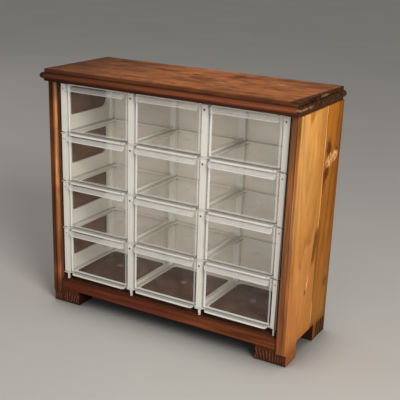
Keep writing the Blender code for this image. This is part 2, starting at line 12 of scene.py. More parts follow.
# The wooden case
CASE_FRONT_Y = -0.05465
CASE_REAR_Y = 0.06615
CASE_INNER_X = 0.156
CASE_OUTER_X = 0.17
BEAD_REAR_Y = CASE_FRONT_Y + 0.0046
JOINT_Y = 0.01585
BACK_FRONT_Y = 0.05415
TOP_UNDERSIDE_Z = 0.296
TOP_FACE_Z = 0.311
TOP_STEP_Y = -0.06195
TOP_END_STEP_X = 0.1678

# The feet
FOOT_FRONT_Y = -0.05145
FOOT_INNER_X = 0.1297
ARCH_HEIGHT = 0.022
REAR_FOOT_Y = CASE_REAR_Y - 0.0385
FLUTE_PITCH = 0.0034
FLUTE_HEIGHT = 0.014
REAR_FLUTE_HEIGHT = 0.02
REAR_FLUTES = 8

# The rack
COLUMN_PITCH = 0.1
ROW_PITCH = 0.0628
LOWEST_SHELF_Z = 0.0439
RACK_FRONT_Y = -0.04865
OUTER_POST_X = 0.145
LOCK_HOLE_OFFSET = 0.001
LOCK_HOLE_LEVEL = 0.0225
LOCK_HOLE_RADIUS = 0.0014

# A drawer, across from its middle, up from its shelf and back from its front
DRAWER_FRONT_Y = -0.04765
LEFT_EDGE = -0.0423
RIGHT_EDGE = 0.0429
SILL_LEVEL = 0.003
PULL_LEVEL = 0.0531
RIM_LEVEL = 0.0593
PIP_DEPTH = 0.0485
LOWEST_ROW_TOP_Z = 0.08
TOP_ROW_PULL_Z = 0.26

# Materials
ALONG_X, ALONG_Y, ALONG_Z = range(3)
NOISE_SPAN = (0.3, 0.7)
FIBRE_SPAN = (0.3, 0.75)
# A pale colour for worn scratches and for a painted glint.
WORN_AND_GLINT = (0.72, 0.46, 0.28)

# The photograph's view
CAMERA_PLACE = (0.4888, -0.8334, 0.4726)
CAMERA_AZIMUTH = 29.29
CAMERA_ELEVATION = 19.73
CAMERA_ROLL = 1.98
CAMERA_LENS = 73.56
CAMERA_SHIFT_Y = 0.0625
SENSOR_WIDTH = 36

# The studio
LAMP_TARGET = (0, 0, 0.15)
WORLD_COLOR = (0.62, 0.61, 0.59, 1)
WORLD_STRENGTH = 0.45
FLOOR_HALF = 12.0
FLOOR_Z = -0.0002
TRANSPARENT_BOUNCES = 40


class Tree:
    """Builds one material's nodes; every argument may be a socket or a constant."""

    def __init__(self, name):
        self.material = bpy.data.materials.new(name)
        self.material.use_nodes = True
        self.tree = self.material.node_tree
        self.shader = self.tree.nodes["Principled BSDF"]
        self.place = self.node("ShaderNodeTexCoord").outputs["Object"]
        parts = self.node("ShaderNodeSeparateXYZ")
        self.feed(parts.inputs[0], self.place)
        self.x, self.y, self.z = parts.outputs

    def node(self, kind, **settings):
        made = self.tree.nodes.new(kind)
        for key, value in settings.items():
            setattr(made, key, value)
        return made

    def feed(self, socket, value):
        if isinstance(value, bpy.types.NodeSocket):
            self.tree.links.new(value, socket)
        elif value is not None:
            socket.default_value = value

    def set(self, name, value):
        self.feed(self.shader.inputs[name], value)

    def math(self, operation, a, b=None, c=None, clamp=False):
        made = self.node("ShaderNodeMath", operation=operation, use_clamp=clamp)
        for socket, value in zip(made.inputs, (a, b, c)):
            self.feed(socket, value)
        return made.outputs[0]

    def times(self, product, *factors):
        for factor in factors:
            product = self.math("MULTIPLY", product, factor)
        return product

    def most(self, largest, *others):
        for other in others:
            largest = self.math("MAXIMUM", largest, other)
        return largest

    def side(self):
        """The distance from the middle plane."""
        return self.math("ABSOLUTE", self.x)

    def right_half(self):
        """0 on the left half of the cabinet and 1 on the right half."""
        return self.range(self.x, -0.01, 0.01)

    def column_x(self):
        """The distance from the middle of the nearest column of drawers."""
        return self.math("WRAP", self.x, COLUMN_PITCH / 2, -COLUMN_PITCH / 2)

    def join(self, x, y, z):
        made = self.node("ShaderNodeCombineXYZ")
        for socket, value in zip(made.inputs, (x, y, z)):
            self.feed(socket, value)
        return made.outputs[0]

    def vector_math(self, operation, vector, constant):
        made = self.node("ShaderNodeVectorMath", operation=operation)
        self.feed(made.inputs[0], vector)
        made.inputs[1].default_value = constant
        return made.outputs[0]

    def scaled(self, vector, factors):
        return self.vector_math("MULTIPLY", vector, factors)

    def moved(self, vector, offset):
        return self.vector_math("ADD", vector, offset)

    def noise(self, vector, scale, detail=3.0, roughness=0.55):
        made = self.node("ShaderNodeTexNoise")
        self.feed(made.inputs["Vector"], vector)
        made.inputs["Scale"].default_value = scale
        made.inputs["Detail"].default_value = detail
        made.inputs["Roughness"].default_value = roughness
        return made.outputs[0]

    def swing(self, vector, scale, detail):
        """Noise that goes both ways from 0."""
        return self.math("SUBTRACT", self.noise(vector, scale, detail), 0.5)

    def ramp(self, value, stops):
        made = self.node("ShaderNodeValToRGB")
        elements = made.color_ramp.elements
        while len(elements) < len(stops):
            elements.new(0.5)
        for element, (place, color) in zip(elements, stops):
            element.position = place
            element.color = (*color, 1)
        self.feed(made.inputs[0], value)
        return made.outputs[0]

    def range(self, value, low, high, to_low=0.0, to_high=1.0, smooth=True):
        made = self.node("ShaderNodeMapRange", interpolation_type="SMOOTHSTEP" if smooth else "LINEAR")
        for socket, given in zip(made.inputs, (value, low, high, to_low, to_high)):
            self.feed(socket, given)
        return made.outputs[0]

    def spread(self, noise, to_low, to_high, span=NOISE_SPAN):
        """Stretches the usual span of a noise over two levels, in a straight line."""
        return self.range(noise, *span, to_low, to_high, smooth=False)

    def mix(self, factor, a, b, blend="MIX"):
        made = self.node("ShaderNodeMix", data_type="RGBA", blend_type=blend)
        self.feed(made.inputs[0], factor)
        for socket, value in zip((made.inputs[6], made.inputs[7]), (a, b)):
            if isinstance(value, tuple):
                value = (*value, 1)
            self.feed(socket, value)
        return made.outputs[2]

    def shade(self, color, factor):
        return self.mix(1.0, color, self.join(factor, factor, factor), "MULTIPLY")

    def crevice(self, distance):
        """1 in the open, falling to 0 where other surfaces stand close in front."""
        made = self.node("ShaderNodeAmbientOcclusion", samples=6)
        made.inputs["Distance"].default_value = distance
        return made.outputs["AO"]

    def bump(self, height, strength, distance):
        made = self.node("ShaderNodeBump")
        made.inputs["Strength"].default_value = strength
        made.inputs["Distance"].default_value = distance
        self.feed(made.inputs["Height"], height)
        self.set("Normal", made.outputs[0])

    def band(self, value, centre, half_width, soft):
        """1 inside a band about a centre, fading out over a soft edge."""
        away = self.math("ABSOLUTE", self.math("SUBTRACT", value, centre))
        return self.range(away, half_width, half_width + soft, 1.0, 0.0)

    def spot(self, plane, centre, radii, turn=0.0, soft=0.5):
        """1 inside an ellipse in the plane of two coordinates, fading out at its rim."""
        cosine = math.cos(math.radians(turn))
        sine = math.sin(math.radians(turn))
        a = self.math("SUBTRACT", plane[0], centre[0])
        b = self.math("SUBTRACT", plane[1], centre[1])
        along = self.math("ADD", self.times(a, cosine), self.times(b, sine))
        across = self.math("SUBTRACT", self.times(b, cosine), self.times(a, sine))
        p = self.math("DIVIDE", along, radii[0])
        q = self.math("DIVIDE", across, radii[1])
        reach = self.math("SQRT", self.math("ADD", self.times(p, p), self.times(q, q)))
        return self.range(reach, 1.0 - soft, 1.0 + soft, 1.0, 0.0)


class Wood(Tree):
    """Stained pine: growth rings round a pith line beside the board, fibres and blotches."""

    LONG_STRETCH = 0.05
    FIBRE_STRETCH = 0.018
    BLOTCH_STRETCH = 0.35
    WANDER = 0.016
    RIPPLE = 0.0016
    RING_RELIEF = -0.43
    COAT_ROUGHNESS = 0.3

    def __init__(self, name, grain, pith, tilt, ring, seed):
        super().__init__(name)
        axes = (self.x, self.y, self.z)
        shifted = self.moved(self.place, (seed, seed * 0.7, seed * 1.3))
        self.long = self.stretched(shifted, grain, self.LONG_STRETCH)
        squares = []
        for value, centre, lean in zip(axes[:grain] + axes[grain + 1 :], pith, tilt):
            away = self.math("SUBTRACT", value, centre)
            away = self.math("SUBTRACT", away, self.times(axes[grain], lean))
            squares.append(self.times(away, away))
        reach = self.math("SQRT", self.math("ADD", *squares))
        reach = self.math("ADD", reach, self.times(self.swing(self.long, 22, 2), self.WANDER))
        reach = self.math("ADD", reach, self.times(self.swing(self.long, 90, 2), self.RIPPLE))
        self.rings = self.math("FRACT", self.math("DIVIDE", reach, ring))
        self.fibre = self.noise(self.stretched(shifted, grain, self.FIBRE_STRETCH), 900, 3, 0.6)
        self.blotch = self.noise(self.stretched(shifted, grain, self.BLOTCH_STRETCH), 30, 3)
        self.ragged = self.swing(self.place, 260, 3)

    def stretched(self, vector, axis, factor):
        factors = [1.0, 1.0, 1.0]
        factors[axis] = factor
        return self.scaled(vector, factors)

    def stain(self, early, late, dark, streaks=(0.74, 1.14), clouds=(0.82, 1.1)):
        """The ring colours, streaked by fibres and darkened where the stain lies thick."""
        color = self.ramp(self.rings, ((0.0, early), (0.55, early), (0.86, late), (0.96, dark), (1.0, early)))
        color = self.shade(color, self.spread(self.fibre, *streaks, FIBRE_SPAN))
        return self.shade(color, self.spread(self.blotch, *clouds))

    def mark(self, color, plane, centre, radii, paint, turn=0, soft=0.5, strength=1.0):
        """Paints an ellipse with a ragged rim."""
        rough = self.times(self.ragged, radii[1] * 1.4)
        ragged_plane = (self.math("ADD", plane[0], rough), self.math("SUBTRACT", plane[1], rough))
        shape = self.spot(ragged_plane, centre, radii, turn, soft)
        return self.mix(self.times(shape, strength), color, paint)

    def finish(self, color, roughness, shine, gloss=0.0):
        # Painted shade: the base colour darkens to half in crevices, where other surfaces stand close in
        # front.
        stain = self.range(self.crevice(0.005), 0.25, 0.8, 0.5, 1.0)
        self.set("Base Color", self.shade(color, stain))
        self.set("Roughness", self.range(self.fibre, *FIBRE_SPAN, roughness + 0.08, roughness - 0.05))
        self.set("Specular IOR Level", shine)
        self.set("Coat Weight", gloss)
        self.set("Coat Roughness", self.COAT_ROUGHNESS)
        height = self.math("MULTIPLY_ADD", self.rings, self.RING_RELIEF, self.fibre)
        self.bump(height, 0.35, 0.0002)
        return self.material


def top_face(wood):
    """The upper face: mottled, darker to the left, with one dark stain and a few worn scratches."""
    flat = (wood.x, wood.y)
    color = wood.stain((0.4, 0.13, 0.042), (0.31, 0.094, 0.029), (0.18, 0.05, 0.016), clouds=(0.66, 1.16))
    amber = wood.range(wood.noise(wood.scaled(wood.place, (0.45, 1.0, 1.0)), 75, 4), 0.42, 0.68)
    color = wood.mix(wood.times(amber, 0.6), color, (0.54, 0.19, 0.045))
    mottle = wood.noise(wood.scaled(wood.place, (0.5, 1.0, 1.0)), 160, 4, 0.7)
    color = wood.shade(color, wood.spread(mottle, 0.74, 1.24))
    patch = wood.noise(wood.scaled(wood.place, (0.6, 1.0, 1.0)), 42, 3, 0.6)
    color = wood.shade(color, wood.spread(patch, 0.66, 1.29, (0.32, 0.68)))
    color = wood.shade(color, wood.range(wood.x, -0.17, -0.02, 0.34, 1.24, smooth=False))
    color = wood.shade(color, wood.range(wood.x, 0.03, 0.13, 1.0, 0.87, smooth=False))
    dark = (0.07, 0.025, 0.012)
    color = wood.mark(color, flat, (-0.048, 0.0255), (0.022, 0.006), dark, turn=6, strength=0.7)
    for centre, reach in (((0.045, -0.0055), 0.005), ((0.0535, 0.0015), 0.004), ((0.108, 0.0225), 0.005)):
        color = wood.mark(color, flat, centre, (reach, 0.0016), WORN_AND_GLINT, turn=4, soft=0.6, strength=0.7)
    for centre, reach in (((0.1256, -0.0255), 0.006), ((0.0024, -0.0075), 0.005), ((-0.052, -0.018), 0.006)):
        color = wood.mark(color, flat, centre, (reach, 0.0014), WORN_AND_GLINT, turn=3, soft=0.6, strength=0.35)
    return color


def top_nose(wood, color):
    """The moulded front edge: two rounded steps with painted highlights, and painted shade in the quirk
    between them and below.
    """
    # Painted shade: a dark line on the top face along the step.
    rim = wood.range(wood.y, TOP_STEP_Y + 0.0002, TOP_STEP_Y + 0.0018, 1.0, 0.0)
    color = wood.mix(wood.times(rim, 0.85), color, (0.05, 0.016, 0.008))
    # Painted light and shade by height: lighter bands on the two rounded steps, nearly black in the quirk and
    # underneath.
    nose = wood.ramp(
        wood.range(wood.z, TOP_UNDERSIDE_Z, TOP_FACE_Z, smooth=False),
        (
            (0.0, (0.022, 0.008, 0.005)),
            (0.2, (0.08, 0.024, 0.011)),
            (0.34, (0.17, 0.045, 0.018)),
            (0.46, (0.21, 0.06, 0.024)),
            (0.62, (0.15, 0.04, 0.016)),
            (0.7, (0.05, 0.015, 0.008)),
            (0.78, (0.2, 0.056, 0.022)),
            (0.88, (0.19, 0.056, 0.022)),
            (1.0, (0.07, 0.02, 0.009)),
        ),
    )
    nose = wood.shade(nose, wood.spread(wood.fibre, 0.6, 1.4, FIBRE_SPAN))
    nose = wood.shade(nose, wood.range(wood.x, -0.17, 0.04, 0.4, 1.0, smooth=False))
    front = wood.range(wood.y, TOP_STEP_Y - 0.0008, TOP_STEP_Y + 0.0002, 1.0, 0.0)
    return wood.mix(front, color, nose)


def top_ends(wood, color):
    """The sawn ends, torn and nearly black with a painted glint high on each; along the right one, a dark
    margin and a painted highlight on its nose.
    """
    side = wood.side()
    torn = wood.noise(wood.place, 170, 4, 0.65)
    sawn = wood.ramp(
        torn,
        (
            (0.36, (0.016, 0.006, 0.003)),
            (0.54, (0.055, 0.018, 0.004)),
            (0.64, (0.088, 0.034, 0.008)),
            (0.72, (0.3, 0.18, 0.08)),
        ),
    )
    slanted = wood.math("MULTIPLY_ADD", wood.y, -0.074, side)
    slanted = wood.math("MULTIPLY_ADD", wood.ragged, 0.004, slanted)
    margin = wood.times(
        wood.range(slanted, 0.1607, 0.1635),
        wood.range(wood.z, TOP_FACE_Z - 0.003, TOP_FACE_Z - 0.0005, 0.0, 0.9),
        wood.range(wood.x, 0.0, 0.01),
    )
    color = wood.mix(margin, color, sawn)
    # Painted highlight along the nose of the right end, broken up like wear.
    nose_highlight_and_wear = wood.times(
        wood.band(wood.z, TOP_FACE_Z - 0.0074, 0.0004, 0.0011),
        wood.range(wood.y, -0.028, -0.044),
        wood.range(torn, 0.34, 0.5),
        wood.range(wood.x, 0.0, 0.01, 0.0, 0.85),
    )
    sawn = wood.mix(nose_highlight_and_wear, sawn, (0.3, 0.14, 0.06))
    lower = wood.range(wood.z, TOP_FACE_Z - 0.0092, TOP_FACE_Z - 0.01, 0.0, 0.8)
    sawn = wood.mix(lower, sawn, (0.08, 0.025, 0.009))
    # Painted glint: a pale spot high on each end.
    glint_spot = (0.009, TOP_FACE_Z - 0.0023)
    sawn = wood.mark(sawn, (wood.y, wood.z), glint_spot, (0.009, 0.0012), WORN_AND_GLINT, soft=0.8, strength=0.25)
    ends = wood.range(side, TOP_END_STEP_X - 0.0012, TOP_END_STEP_X - 0.0004)
    return wood.mix(ends, color, sawn)


def top_wood():
    """The top board: worn and blotched above, with painted shade nearly black in the quirks, and nearly black
    at its sawn ends.
    """
    wood = Wood("top_pine", ALONG_X, pith=(0.02, 0.22), tilt=(0.03, 0.04), ring=0.0085, seed=1.7)
    color = top_ends(wood, top_nose(wood, top_face(wood)))
    return wood.finish(color, roughness=0.52, shine=0.08)


def carved(wood, color, front):
    """Carved flutes low on a front: pale worn ridges between hollows painted nearly black as shade."""
    # Painted shade: the hollows, found as crevices, are nearly black; the open ridges stay pale.
    ridge = wood.range(wood.crevice(0.0022), 0.62, 0.95)
    ridge = wood.times(ridge, wood.range(wood.noise(wood.place, 320, 3), 0.3, 0.6, 0.35, 1.0))
    flutes = wood.mix(ridge, (0.024, 0.007, 0.005), (0.15, 0.053, 0.031))
    low = wood.range(wood.z, FLUTE_HEIGHT - 0.0006, FLUTE_HEIGHT + 0.0006, 1.0, 0.0)
    return wood.mix(wood.times(front, low), color, flutes)


def right_moulding(wood, across):
    """The front edge of the right side: brown beside the rack, with a paler strip outside."""
    color = wood.ramp(
        across,
        (
            (0.0, (0.16, 0.062, 0.026)),
            (0.08, (0.26, 0.108, 0.043)),
            (0.2, (0.28, 0.113, 0.04)),
            (0.36, (0.21, 0.074, 0.022)),
            (0.54, (0.19, 0.06, 0.016)),
            (0.68, (0.38, 0.144, 0.043)),
            (0.84, (0.46, 0.18, 0.047)),
            (1.0, (0.56, 0.24, 0.055)),
        ),
    )
    # Painted shade: darker towards the top, under the top board's overhang.
    color = wood.shade(color, wood.range(wood.z, 0.2, 0.29, 1.0, 0.55))
    return wood.mix(wood.range(wood.z, 0.03, 0.13, 0.6, 0.0), color, (0.17, 0.046, 0.02))


def left_moulding(wood, across):
    """The front edge of the left side: a bead with a painted highlight, painted shade at its inner edge
    beside the rack and a dark outer strip, redder towards its foot.
    """
    # Across the edge: painted shade at the inner edge, a painted highlight on the bead from 0.1 to 0.27, then
    # darker outwards.
    color = wood.ramp(
        across,
        (
            (0.0, (0.045, 0.016, 0.007)),
            (0.04, (0.2, 0.07, 0.024)),
            (0.1, (0.5, 0.205, 0.075)),
            (0.18, (0.64, 0.3, 0.125)),
            (0.27, (0.5, 0.19, 0.06)),
            (0.39, (0.31, 0.1, 0.029)),
            (0.52, (0.22, 0.066, 0.019)),
            (0.64, (0.115, 0.034, 0.012)),
            (1.0, (0.085, 0.028, 0.012)),
        ),
    )
    color = wood.mix(wood.range(wood.z, 0.05, 0.14, 0.75, 0.0), color, (0.17, 0.05, 0.02))
    color = wood.mix(wood.range(wood.z, 0.022, 0.045, 0.8, 0.0), color, (0.085, 0.024, 0.012))
    # Painted shade: darker at the top, under the top board's overhang.
    color = wood.shade(color, wood.range(wood.z, 0.26, 0.286, 1.0, 0.4))
    return wood.shade(color, wood.range(wood.noise(wood.place, 28, 2), 0.4, 0.62, 1.05, 0.72))


def moulded_edge(wood, color):
    """The darker front edge of a side, the carved foot below it and the dark lining behind it."""
    side = wood.side()
    across = wood.range(side, CASE_INNER_X, CASE_OUTER_X, smooth=False)
    moulding = wood.mix(wood.right_half(), left_moulding(wood, across), right_moulding(wood, across))
    worn = wood.times(
        wood.band(wood.z, 0.175, 0.02, 0.035),
        wood.range(across, 0.54, 0.66),
        wood.range(wood.x, 0.0, 0.01, 0.0, 0.55),
    )
    moulding = wood.mix(worn, moulding, (0.42, 0.21, 0.1))
    moulding = wood.shade(moulding, wood.spread(wood.fibre, 0.58, 1.38, FIBRE_SPAN))
    moulding = wood.shade(moulding, wood.range(wood.noise(wood.long, 260, 4), 0.42, 0.62, 1.15, 0.72))
    front = wood.times(
        wood.range(wood.y, BEAD_REAR_Y, BEAD_REAR_Y + 0.0014, 1.0, 0.0),
        wood.range(side, CASE_OUTER_X - 0.0022, CASE_OUTER_X - 0.0002, 1.0, 0.0),
    )
    color = carved(wood, wood.mix(front, color, moulding), front)
    # The inner face: dark, and darker still near the front as painted shade beside the rack.
    deep = wood.range(wood.y, RACK_FRONT_Y, RACK_FRONT_Y + 0.012)
    lining = wood.mix(deep, (0.07, 0.026, 0.011), (0.1, 0.034, 0.012))
    inside = wood.times(
        wood.range(side, CASE_INNER_X + 0.0002, CASE_INNER_X + 0.0014, 1.0, 0.0),
        wood.range(wood.y, BEAD_REAR_Y, BEAD_REAR_Y + 0.0014),
    )
    return wood.mix(inside, color, lining)


def scarred(wood, color):
    """The right side's front board: a scar low down and a brown burn slanting away from the joint."""
    upright = (wood.y, wood.z)
    color = wood.mark(color, upright, (-0.0097, 0.079), (0.0022, 0.0035), (0.22, 0.06, 0.006))
    color = wood.mark(color, upright, (-0.0047, 0.09), (0.0016, 0.003), (0.3, 0.1, 0.015))
    color = wood.mark(color, upright, (-0.0057, 0.09), (0.001, 0.0085), (0.85, 0.52, 0.2), turn=-9)
    slanted = wood.math("MULTIPLY_ADD", wood.z, -0.17, wood.y)
    slanted = wood.math("MULTIPLY_ADD", wood.ragged, 0.006, slanted)
    burn = wood.times(
        wood.band(slanted, -0.0124, 0.0036, 0.0028),
        wood.band(wood.z, 0.131, 0.014, 0.012),
        0.95,
    )
    return wood.mix(burn, color, (0.165, 0.045, 0.002))


def front_side_wood():
    """The front board of a side: golden, paler towards its top and browner towards the joint."""
    wood = Wood("side_pine_front", ALONG_Z, pith=(0.09, -0.02), tilt=(0.05, 0.03), ring=0.0075, seed=0.4)
    color = wood.stain(
        (0.7, 0.325, 0.07),
        (0.61, 0.26, 0.047),
        (0.45, 0.165, 0.024),
        streaks=(0.76, 1.14),
        clouds=(0.8, 1.09),
    )
    color = wood.mix(wood.range(wood.z, 0.02, 0.27, 0.62, 0.0), color, (0.39, 0.115, 0.016))
    uneven = wood.noise(wood.scaled(wood.place, (1.0, 1.0, 0.3)), 130, 4, 0.65)
    color = wood.shade(color, wood.spread(uneven, 0.86, 1.15))
    blush = wood.range(wood.noise(wood.scaled(wood.place, (1.0, 1.0, 0.45)), 40, 3), 0.44, 0.62)
    blush = wood.times(blush, wood.range(wood.z, 0.04, 0.2, 0.45, 0.0))
    color = wood.mix(blush, color, (0.5, 0.155, 0.05))
    sheen = wood.band(wood.y, CASE_FRONT_Y + 0.012, 0.003, 0.009)
    sheen = wood.times(sheen, wood.range(wood.z, 0.14, 0.25, 0.0, 0.3))
    color = wood.mix(sheen, color, (0.86, 0.45, 0.18))
    color = wood.shade(color, wood.range(wood.y, CASE_FRONT_Y + 0.001, CASE_FRONT_Y + 0.008, 0.8, 1.0))
    near_joint = wood.range(wood.y, JOINT_Y - 0.028, JOINT_Y - 0.004, 0.0, 0.75)
    color = wood.mix(near_joint, color, (0.47, 0.17, 0.022))
    color = wood.mix(wood.range(wood.z, 0.006, 0.036, 0.8, 0.0), color, (0.22, 0.062, 0.014))
    color = wood.mix(wood.right_half(), color, scarred(wood, color))
    return wood.finish(moulded_edge(wood, color), roughness=0.45, shine=0.1, gloss=0.03)


def knotted(wood, color):
    """The right side's rear board: dark knots and a pale torn patch across the largest."""
    knots = (
        ((0.0295, 0.245), (0.0075, 0.0105), 12, 0.6, 0.95),
        ((0.0545, 0.239), (0.0035, 0.0035), 0, 0.5, 1.0),
        ((0.0265, 0.2175), (0.007, 0.011), -18, 0.6, 1.0),
        ((0.0215, 0.204), (0.0036, 0.014), -10, 0.6, 0.7),
        ((0.0535, 0.072), (0.005, 0.007), 0, 0.6, 0.7),
    )
    for centre, radii, turn, soft, strength in knots:
        color = wood.mark(color, (wood.y, wood.z), centre, radii, (0.108, 0.027, 0.002), turn, soft, strength)
    torn = wood.ramp(
        wood.noise(wood.scaled(wood.place, (1.0, 0.6, 1.0)), 210, 4, 0.7),
        (
            (0.36, (0.2, 0.065, 0.018)),
            (0.46, (0.55, 0.25, 0.08)),
            (0.6, (0.8, 0.46, 0.19)),
        ),
    )
    rough = wood.times(wood.ragged, 0.012)
    ragged_plane = (wood.math("ADD", wood.y, rough), wood.math("SUBTRACT", wood.z, rough))
    patch = wood.spot(ragged_plane, (0.0405, 0.231), (0.0175, 0.0068), turn=14, soft=0.25)
    return wood.mix(patch, color, torn)


def glued_joint(wood, color):
    """A painted shadow in a band beside the joint, and pale glue that shows along parts of it."""
    # Painted shadow: a dark band beside the joint.
    joint_shadow = wood.band(wood.y, JOINT_Y + 0.0022, 0.0005, 0.0012)
    color = wood.mix(wood.times(joint_shadow, 0.6), color, (0.15, 0.05, 0.012))
    upper = wood.range(wood.z, 0.15, 0.156)
    lower = wood.band(wood.z, 0.042, 0.012, 0.006)
    shown = wood.math("ADD", upper, lower, clamp=True)
    wavy = wood.math("MULTIPLY_ADD", wood.swing(wood.place, 45, 3), 0.004, wood.y)
    glue = wood.times(shown, wood.range(wavy, JOINT_Y + 0.0012, JOINT_Y + 0.002, 1.0, 0.0))
    return wood.mix(glue, color, (0.78, 0.43, 0.17))


def rear_foot(wood, color):
    """The rear foot of a side: dark below, with painted shade: black under the arch and black stripes in the
    hollows of its flutes.
    """
    color = wood.mix(wood.range(wood.z, 0.012, 0.036, 0.8, 0.0), color, (0.12, 0.042, 0.014))
    # Painted shade: the face under the arch is black.
    arch = wood.times(
        wood.range(wood.y, REAR_FOOT_Y + 0.0006, REAR_FOOT_Y + 0.0002),
        wood.range(wood.z, ARCH_HEIGHT, ARCH_HEIGHT + 0.001, 1.0, 0.0),
    )
    color = wood.mix(arch, color, (0.03, 0.011, 0.005))
    # Painted shade: black stripes in the hollows of the flutes.
    first = CASE_REAR_Y - (REAR_FLUTES + 0.5) * FLUTE_PITCH
    turns = wood.math("DIVIDE", wood.math("SUBTRACT", wood.y, CASE_REAR_Y), 2 * FLUTE_PITCH)
    stripe = wood.math("COSINE", wood.times(turns, 2 * math.pi))
    flutes = wood.times(
        wood.range(wood.z, REAR_FLUTE_HEIGHT - 0.001, REAR_FLUTE_HEIGHT + 0.004, 1.0, 0.0),
        wood.range(wood.y, first, first + FLUTE_PITCH / 2),
        wood.range(stripe, -0.5, 0.3),
    )
    return wood.mix(flutes, color, (0.025, 0.009, 0.004))


def rear_side_wood():
    """The rear board of a side: darker amber, brightest high up beside the joint."""
    wood = Wood("side_pine_rear", ALONG_Z, pith=(0.09, -0.02), tilt=(0.05, 0.03), ring=0.0085, seed=3.3)
    color = wood.stain((0.38, 0.128, 0.014), (0.305, 0.096, 0.01), (0.2, 0.056, 0.006), clouds=(0.8, 1.12))
    uneven = wood.noise(wood.scaled(wood.place, (1.0, 1.0, 0.35)), 95, 4, 0.65)
    color = wood.shade(color, wood.spread(uneven, 0.82, 1.18))
    bright = wood.times(wood.range(wood.y, 0.056, 0.0185, 0.0, 0.75), wood.range(wood.z, 0.12, 0.26))
    color = wood.mix(bright, color, (0.48, 0.17, 0.014))
    color = wood.mix(wood.range(wood.z, 0.03, 0.14, 0.6, 0.0), color, (0.35, 0.15, 0.028))
    color = wood.shade(color, wood.range(wood.y, 0.048, CASE_REAR_Y, 1.0, 0.66))
    color = wood.mix(wood.right_half(), color, knotted(wood, color))
    color = rear_foot(wood, glued_joint(wood, color))
    return wood.finish(moulded_edge(wood, color), roughness=0.48, shine=0.04)


def base_wood():
    """The base board: stained almost black, with a red-brown front edge, streaked and veined."""
    wood = Wood("base_pine", ALONG_X, pith=(0.05, -0.06), tilt=(0.02, 0.03), ring=0.006, seed=4.1)
    color = wood.stain((0.085, 0.024, 0.008), (0.05, 0.014, 0.005), (0.026, 0.008, 0.004), clouds=(0.6, 1.25))
    front = wood.range(wood.y, FOOT_FRONT_Y + 0.0004, FOOT_FRONT_Y + 0.001, 1.0, 0.0)
    hue = wood.range(wood.noise(wood.long, 75, 3), 0.42, 0.6)
    warm = wood.mix(hue, (0.185, 0.046, 0.028), (0.29, 0.088, 0.026))
    warm = wood.shade(warm, wood.range(wood.x, -0.15, -0.05, 0.6, 1.0))
    warm = wood.shade(warm, wood.range(wood.x, 0.05, 0.15, 1.0, 0.78))
    streak = wood.times(
        wood.range(wood.noise(wood.long, 130, 3), 0.45, 0.66),
        0.8,
        wood.range(front, 0.0, 1.0, 0.25, 1.0),
    )
    color = wood.mix(streak, color, warm)
    color = wood.mix(wood.range(front, 0.0, 1.0, 0.45, 0.0), color, (0.115, 0.046, 0.028))
    color = wood.mix(wood.times(front, 0.45), color, warm)
    vein = wood.times(front, wood.range(wood.noise(wood.long, 240, 3), 0.48, 0.64, 0.0, 0.6))
    color = wood.mix(vein, color, (0.055, 0.016, 0.009))
    # Painted shadow: darker along the top of the front edge, under the rack's lowest lip.
    upper = wood.times(front, wood.range(wood.z, 0.029, 0.0328, 0.0, 0.6))
    color = wood.mix(upper, color, (0.05, 0.014, 0.006))
    return wood.finish(color, roughness=0.6, shine=0.01)


def foot_wood():
    """The foot blocks: dark stain, carved flutes in front and painted shade, nearly black, on the inner side.
    """
    wood = Wood("foot_pine", ALONG_Y, pith=(0.05, -0.06), tilt=(0.02, 0.03), ring=0.0035, seed=2.6)
    color = wood.stain((0.1, 0.03, 0.011), (0.062, 0.018, 0.007), (0.03, 0.009, 0.004))
    front = wood.range(wood.y, FOOT_FRONT_Y + 0.002, FOOT_FRONT_Y + 0.003, 1.0, 0.0)
    color = carved(wood, color, front)
    # Painted shade: the inner side is nearly black.
    inner = wood.range(wood.side(), FOOT_INNER_X + 0.0003, FOOT_INNER_X + 0.0008, 0.9, 0.0)
    color = wood.mix(inner, color, (0.016, 0.006, 0.004))
    return wood.finish(color, roughness=0.6, shine=0.01)


def hardboard():
    """The back panel: pressed board, white-faced towards the drawers and bare brown behind."""
    tree = Tree("back_hardboard")
    speck = tree.noise(tree.place, 700, 3)
    bare = tree.ramp(speck, ((0.3, (0.34, 0.22, 0.122)), (0.7, (0.48, 0.33, 0.2))))
    faced = tree.ramp(speck, ((0.3, (0.795, 0.735, 0.645)), (0.7, (0.855, 0.8, 0.705))))
    # Painted light and shade: the white face is darker behind the left columns and lighter behind the right
    # one.
    faced = tree.shade(faced, tree.range(tree.x, -0.06, 0.1, 0.86, 1.06, smooth=False))
    below = tree.range(tree.z, LOWEST_SHELF_Z - 0.003, LOWEST_SHELF_Z - 0.001, 1.0, 0.0)
    faced = tree.mix(below, faced, (0.05, 0.022, 0.013))
    color = tree.mix(tree.range(tree.y, BACK_FRONT_Y + 0.0006, BACK_FRONT_Y + 0.0012), faced, bare)
    tree.set("Base Color", tree.shade(color, tree.spread(tree.noise(tree.place, 16, 2), 0.92, 1.06)))
    tree.set("Roughness", tree.range(speck, *NOISE_SPAN, 0.72, 0.84))
    tree.bump(speck, 0.3, 0.0002)
    return tree.material


def screw_steel():
    """The back panel's screws: steel with uneven polish."""
    tree = Tree("screw_steel")
    wear = tree.noise(tree.place, 900, 3)
    tree.set("Base Color", tree.ramp(wear, ((0.3, (0.42, 0.4, 0.36)), (0.7, (0.62, 0.6, 0.55)))))
    tree.set("Metallic", 1.0)
    tree.set("Roughness", tree.range(wear, *NOISE_SPAN, 0.28, 0.45))
    return tree.material


